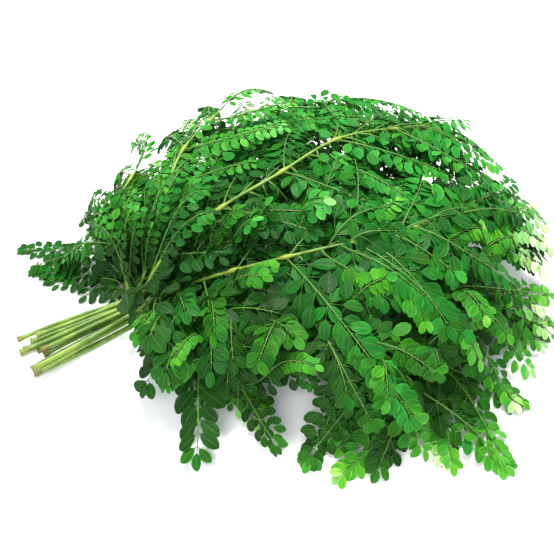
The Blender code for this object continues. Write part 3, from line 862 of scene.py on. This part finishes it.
def growSpray(frond, found, counts, shade, pale=0.0):
    distance, rib, length, arch, roll = found
    draw, plan = frond.draw, frond.plan
    bare = spray["bareLength"]
    stalkShare = (distance - neckDistance) / (frond.way.length - neckDistance)
    inner, outer = plan["tones"]
    alongStalk, alongSpray = growth["toneShares"]
    toneCurve, tipShrink, singlePitch = (
        plan.get(name, growth[name]) for name in ("toneCurve", "tipShrink", "singlePitch"))
    sprayTone = draw.gauss(0, growth["sprayTone"])

    def toneAt(share):
        out = clamped(alongStalk * stalkShare + alongSpray * share)
        # shade below 1 darkens the inner sprays: painted shade under the sprays that show
        return (inner + (outer - inner) * out ** toneCurve) * shade + sprayTone + pale * share

    def sizeAt(share):
        return plan["leaf"] / 1000 * (1 - (1 - tipShrink) * share)

    def twigSpot(start, side):
        share = 1 / hypot(1, growth["lobeLean"])

        def spot(out):
            if out <= 0:
                return rib.at(start)
            return bladePoint(rib, start + out * share * growth["lobeLean"], side * out * share, arch, roll)

        return spot

    end = length - sizeAt(1.0) * growth["sprayEnd"]
    along = bare
    while along < end:
        share = (along - bare) / (length - bare)
        count = counts[min(int(share * len(counts)), len(counts) - 1)]
        size = sizeAt(share)
        for side in (1, -1):
            start = along + either(draw, growth["pairJitter"])
            growTwig(frond, twigSpot(start, side), acrossRib(rib, start, roll)[2], count, size, toneAt(share))
        along += size * (singlePitch if count == 1 else growth["twigPitch"]) * draw.uniform(*growth["pitchSpread"])
    endNormal = acrossRib(rib, end, roll)[2]
    layLeaflet(frond, rib.at(end), rib.along(end), endNormal, sizeAt(1.0) * growth["endSize"], toneAt(1.0))
    thick, thin = growth["ribRadii"]
    line = []
    for k in range(growth["ribSpans"] + 1):
        share = k / growth["ribSpans"]
        swell = growth["rootSwell"] if k == 0 else 0.0
        line.append((rib.at(end * share), thick + (thin - thick) * share + swell))
    frond.ribs.append(line)


# stalks

stalk = {
    "jointSwell": 0.0012,
    "jointReach": 0.0048,
    "cutFlare": 0.0010,
    "flareShare": (0.3, 1.5),
    "cutReach": 0.005,
    "perSpan": 12,
    "spacing": 0.0035,
    "fewestSpans": 24,
    "rounding": (4, 1, 0),  # of the main stalk, the ribs and the twigs
    "thickness": (0.72, 0.96),  # against the CAD's, each stalk its own
    # how far a cut end is off its place: across, up and back, and how soon that fades
    "splay": (0.0050, 0.0060, 0.0120),
    "splayCurve": 1.5,
    "fan": 0.0012,
    "bow": 0.0022,
    "brown": (0.15, 0.85, 1.5),  # least, range and curve
    "jointTint": 0.009,
    "cutTint": 0.0065,
}


def tubesMesh(name, lines, resolution):
    # one curve with a tube along each line of (point, radius), made a mesh
    curve = bpy.data.curves.new(name, "CURVE")
    curve.dimensions = "3D"
    curve.twist_mode = "Z_UP"
    curve.bevel_depth = 1.0
    curve.bevel_resolution = resolution
    curve.use_fill_caps = True
    holder = addObject(name, curve)
    for line in lines:
        spline = curve.splines.new("POLY")
        spline.points.add(len(line) - 1)
        for point, (p, radius) in zip(spline.points, line):
            point.co = (p.x, p.y, max(p.z, radius), 1)
            point.radius = radius
        spline.use_smooth = True
    evaluated = holder.evaluated_get(bpy.context.evaluated_depsgraph_get())
    mesh = bpy.data.meshes.new_from_object(evaluated)
    bpy.data.objects.remove(holder)
    bpy.data.curves.remove(curve)
    return mesh


def stalkLine(index, plan, way):
    fine = stalkWay(index, plan, stalk["perSpan"])
    joints = jointDistances(plan, way)
    draw = random.Random(f"stalk {index}")
    aside, high, back = stalk["splay"]
    fan = (plan["slot"][0] - bundle["middleColumn"]) * stalk["fan"]
    splay = acrossRun * (fan + either(draw, aside)) + up * draw.uniform(0, high) - run * draw.uniform(0, back)
    bow = (acrossRun * either(draw, 1) + up * draw.random()) * stalk["bow"]
    thickness = draw.uniform(*stalk["thickness"])
    flare = stalk["cutFlare"] * draw.uniform(*stalk["flareShare"])
    spans = max(stalk["fewestSpans"], round(way.length / stalk["spacing"]))
    line = []
    for k in range(spans + 1):
        share = k / spans
        distance = way.length * share
        radius = stalkRadius(way, distance) * thickness
        for joint in joints:
            radius += stalk["jointSwell"] * exp(-((distance - joint) / stalk["jointReach"]) ** 2)
        radius += flare * exp(-(distance / stalk["cutReach"]) ** 2)
        free = max(1 - distance / neckDistance, 0.0)
        place = fine.at(fine.length * share) + splay * free ** stalk["splayCurve"]
        line.append((place + bow * sin(pi * free), radius))
    return line


def addPart(target, mesh, materialIndex):
    shape = bmesh.new()
    shape.from_mesh(mesh)
    bmesh.ops.remove_doubles(shape, verts=shape.verts, dist=0.00001)
    bmesh.ops.recalc_face_normals(shape, faces=shape.faces)
    for face in shape.faces:
        face.material_index = materialIndex
        face.smooth = len(face.verts) < 5
    shape.to_mesh(mesh)
    shape.free()
    target.from_mesh(mesh)
    bpy.data.meshes.remove(mesh)


def paintAttribute(mesh, name, domain, values):
    layer = mesh.attributes.new(name, "FLOAT", domain)
    layer.data.foreach_set("value", values)


def finishFrond(frond, index, materials):
    line = stalkLine(index, frond.plan, frond.way)
    counts = [len(frond.leaves.verts)]
    parts = (("mainStalk", [line]), ("ribs", frond.ribs), ("twigs", frond.twigs))
    for (name, lines), rounding in zip(parts, stalk["rounding"]):
        addPart(frond.leaves, tubesMesh(name, lines, rounding), 1)
        counts.append(len(frond.leaves.verts))
    leafVertices, stalkVertices = counts[:2]
    mesh = bpy.data.meshes.new(frond.name)
    frond.leaves.to_mesh(mesh)
    frond.leaves.free()
    vertexCount = len(mesh.vertices)
    for name, values in (("tone", frond.tones), ("warmth", frond.warmths)):
        values = [value for value in values for k in range(leafFaces)]
        paintAttribute(mesh, name, "FACE", values + [0.5] * (len(mesh.polygons) - len(values)))
    joints = [frond.way.at(d) for d in jointDistances(frond.plan, frond.way)]
    least, more, curve = stalk["brown"]
    brown = least + more * frond.draw.random() ** curve
    jointTint = [0.0] * vertexCount
    cutTint = [0.0] * vertexCount
    for v in mesh.vertices[leafVertices:stalkVertices]:
        jointTint[v.index] = max(exp(-((v.co - j).length / stalk["jointTint"]) ** 2) for j in joints)
        cutTint[v.index] = brown * exp(-((v.co - line[0][0]).length / stalk["cutTint"]) ** 4)
    ribTint = [0.0] * stalkVertices + [1.0] * (vertexCount - stalkVertices)
    for name, values in (("ribTint", ribTint), ("jointTint", jointTint), ("cutTint", cutTint)):
        paintAttribute(mesh, name, "POINT", values)
    mesh.transform(Matrix.Translation(-bunchMiddle))
    for material in materials:
        mesh.materials.append(material)
    piece = addObject(frond.name.replace("frond_", "leafyFrond"), mesh)
    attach(piece, "root")
    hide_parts(frond.name)
    return piece


# materials

leafFinish = {
    # from dark to pale
    "tones": (0.0, 0.22, 0.42, 0.62, 0.82, 1.0),
    "coolGreens": ((0.0025, 0.032, 0.003), (0.004, 0.072, 0.006), (0.008, 0.160, 0.015),
                   (0.032, 0.300, 0.038), (0.230, 0.470, 0.185), (0.520, 0.660, 0.430)),
    "warmGreens": ((0.005, 0.034, 0.001), (0.012, 0.080, 0.002), (0.028, 0.185, 0.004),
                   (0.085, 0.335, 0.012), (0.300, 0.500, 0.120), (0.570, 0.680, 0.360)),
    "undersideGreen": (0.14, 0.27, 0.10, 1.0),
    "undersideShare": 0.42,
    "undersideRough": 0.18,
    "veinGreen": (0.14, 0.33, 0.06, 1.0),
    "midribShare": 0.15,
    "veinShare": 0.07,
    "rimTone": 0.13,
    # where they begin and end, from the midrib out to the edge, and on a wave from -1 to 1
    "midrib": (0.04, 0.13),
    "rim": (0.55, 1.0),
    "vein": (0.86, 1.0),
    "veinLean": 0.16,
    "veinCount": 7.0,
    "blotchScale": 120.0,
    "blotchDetail": 3.0,
    "blotchDepth": 0.24,
    "blotchRough": 0.6,
    "roughness": 0.50,
    "relief": (0.5, -0.6),  # of the blotches and of the veins
    "bump": 0.35,
    "bumpHeight": 0.0004,
    "specular": 0.12,
}


def rampOf(tree, share, places, colours):
    ramp = nodeOf(tree, "ValToRGB", {"Fac": share})
    elements = ramp.color_ramp.elements
    while len(elements) < len(places):
        elements.new(0.5)
    for element, place, colour in zip(elements, places, colours):
        element.position = place
        element.color = (*colour, 1.0)
    return ramp.outputs["Color"]


def mathOf(tree, operation, *terms):
    made = nodeOf(tree, "Math", operation=operation)
    for socket, term in zip(made.inputs, terms):
        feed(tree, socket, term)
    return made.outputs[0]


def mixOf(tree, share, first, second):
    made = nodeOf(tree, "Mix", data_type="RGBA")
    sockets = {s.identifier: s for s in made.inputs}
    for name, value in (("Factor_Float", share), ("A_Color", first), ("B_Color", second)):
        feed(tree, sockets[name], value)
    return next(s for s in made.outputs if s.identifier == "Result_Color")


def smoothStep(tree, value, low, high):
    inputs = {"Value": value, "From Min": low, "From Max": high}
    return nodeOf(tree, "MapRange", inputs, interpolation_type="SMOOTHSTEP").outputs["Result"]


def attributesOf(tree, *names):
    return [nodeOf(tree, "Attribute", attribute_name=name).outputs["Fac"] for name in names]


def noiseOf(tree, scale, detail):
    place = nodeOf(tree, "TexCoord").outputs["Object"]
    return nodeOf(tree, "TexNoise", {"Vector": place, "Scale": scale, "Detail": detail}).outputs["Fac"]


def bumpOf(tree, relief, values):
    inputs = {"Height": relief, "Strength": values["bump"], "Distance": values["bumpHeight"]}
    return nodeOf(tree, "Bump", inputs).outputs["Normal"]


def leafMaterial(values):
    material, tree = newMaterial("moringaLeaf")
    times, plus, less, larger = (partial(mathOf, tree, kind) for kind in ("MULTIPLY", "ADD", "SUBTRACT", "MAXIMUM"))
    step, mix = partial(smoothStep, tree), partial(mixOf, tree)
    tone, warmth, underside = attributesOf(tree, "tone", "warmth", "underside")
    leafMap = nodeOf(tree, "UVMap", uv_map="leafMap").outputs["UV"]
    across, along = nodeOf(tree, "SeparateXYZ", {"Vector": leafMap}).outputs[:2]
    fromMidrib = times(mathOf(tree, "ABSOLUTE", less(across, 0.5)), 2.0)
    midrib = less(1.0, step(fromMidrib, *values["midrib"]))
    rim = step(fromMidrib, *values["rim"])
    # side veins leave the midrib forwards
    veinWay = less(along, times(fromMidrib, values["veinLean"]))
    veins = step(mathOf(tree, "SINE", times(veinWay, values["veinCount"] * 2 * pi)), *values["vein"])
    blotch = noiseOf(tree, values["blotchScale"], values["blotchDetail"])
    blotchy = times(less(blotch, 0.5), values["blotchDepth"])
    shade = plus(plus(tone, blotchy), times(rim, values["rimTone"]))
    cool, warm = (rampOf(tree, shade, values["tones"], values[name]) for name in ("coolGreens", "warmGreens"))
    green = mix(step(warmth, 0.0, 1.0), cool, warm)
    green = mix(times(underside, values["undersideShare"]), green, values["undersideGreen"])
    lines = larger(times(midrib, values["midribShare"]), times(veins, values["veinShare"]))
    rough = plus(values["roughness"], times(underside, values["undersideRough"]))
    blotchRelief, veinRelief = values["relief"]
    relief = plus(times(blotch, blotchRelief), times(larger(midrib, veins), veinRelief))
    finishMaterial(tree, {
        "Base Color": mix(lines, green, values["veinGreen"]),
        "Roughness": plus(rough, times(blotchy, values["blotchRough"])),
        "Normal": bumpOf(tree, relief, values),
        "Specular IOR Level": values["specular"],
    })
    return material


stalkFinish = {
    "green": (0.074, 0.170, 0.012, 1.0),
    "pale": (0.200, 0.325, 0.036, 1.0),
    "joint": (0.310, 0.370, 0.034, 1.0),
    "jointShare": 0.7,
    "rib": (0.060, 0.175, 0.020, 1.0),
    "ribShare": 0.85,
    "cut": (0.200, 0.120, 0.040, 1.0),
    "cutShare": 0.35,
    "cutRough": 0.3,
    # scale and detail, then how much of each and where the pale begins and ends
    "broadStreaks": (45.0, 2.0),
    "fineStreaks": (260.0, 4.0),
    "streakShares": (0.7, 0.3),
    "paleness": (0.38, 0.62),
    "roughness": 0.42,
    "bump": 0.25,
    "bumpHeight": 0.0003,
}


def stalkMaterial(values):
    material, tree = newMaterial("moringaStalk")
    times, plus, mix = partial(mathOf, tree, "MULTIPLY"), partial(mathOf, tree, "ADD"), partial(mixOf, tree)
    joint, cut, rib = attributesOf(tree, "jointTint", "cutTint", "ribTint")
    broad = noiseOf(tree, *values["broadStreaks"])
    fine = noiseOf(tree, *values["fineStreaks"])
    broadShare, fineShare = values["streakShares"]
    share = smoothStep(tree, plus(times(broad, broadShare), times(fine, fineShare)), *values["paleness"])
    colour = mix(share, values["green"], values["pale"])
    colour = mix(times(rib, values["ribShare"]), colour, values["rib"])
    colour = mix(times(joint, values["jointShare"]), colour, values["joint"])
    finishMaterial(tree, {
        "Base Color": mix(times(cut, plus(values["cutShare"], fine)), colour, values["cut"]),
        "Roughness": plus(values["roughness"], times(cut, values["cutRough"])),
        "Normal": bumpOf(tree, fine, values),
    })
    return material


def growBunch():
    materials = [leafMaterial(leafFinish), stalkMaterial(stalkFinish)]
    ways = {name: stalkWay(index, plan) for index, (name, plan) in enumerate(fronds.items())}
    sprays = placeSprays(ways)
    spots = bareSpots(ways)
    total = 0
    for index, (name, plan) in enumerate(fronds.items()):
        way = ways[name]
        frond = Frond(name, plan, way)
        outer = [(found, 0.0) for found in sprays[name]] + moreAimed(name, plan, way)
        count, *shares = plan.get("cover", (0, 0.0, 1.0))
        cover = looseSprays(name, way, coverSprays, count, shares, spots)
        inner = looseSprays(name, way, innerSprays, plan["inner"], innerSprays["shares"], spots)
        inner += looseSprays(name, way, skirtSprays, plan.get("skirt", 0), skirtSprays["shares"], [])
        for found, pale in outer + [(found, 0.0) for found in cover]:
            growSpray(frond, found, plan["counts"], 1.0, pale)
        for found in inner:
            growSpray(frond, found, innerSprays["counts"], innerSprays["shade"])
        total += len(frond.tones)
        piece = finishFrond(frond, index, materials)
        print(name, len(outer), "sprays and", len(inner), "inner ones,", len(piece.data.polygons), "faces")
    print(total, "leaflets in all")


growBunch()
for shape in leafShapes:
    bpy.data.meshes.remove(shape)
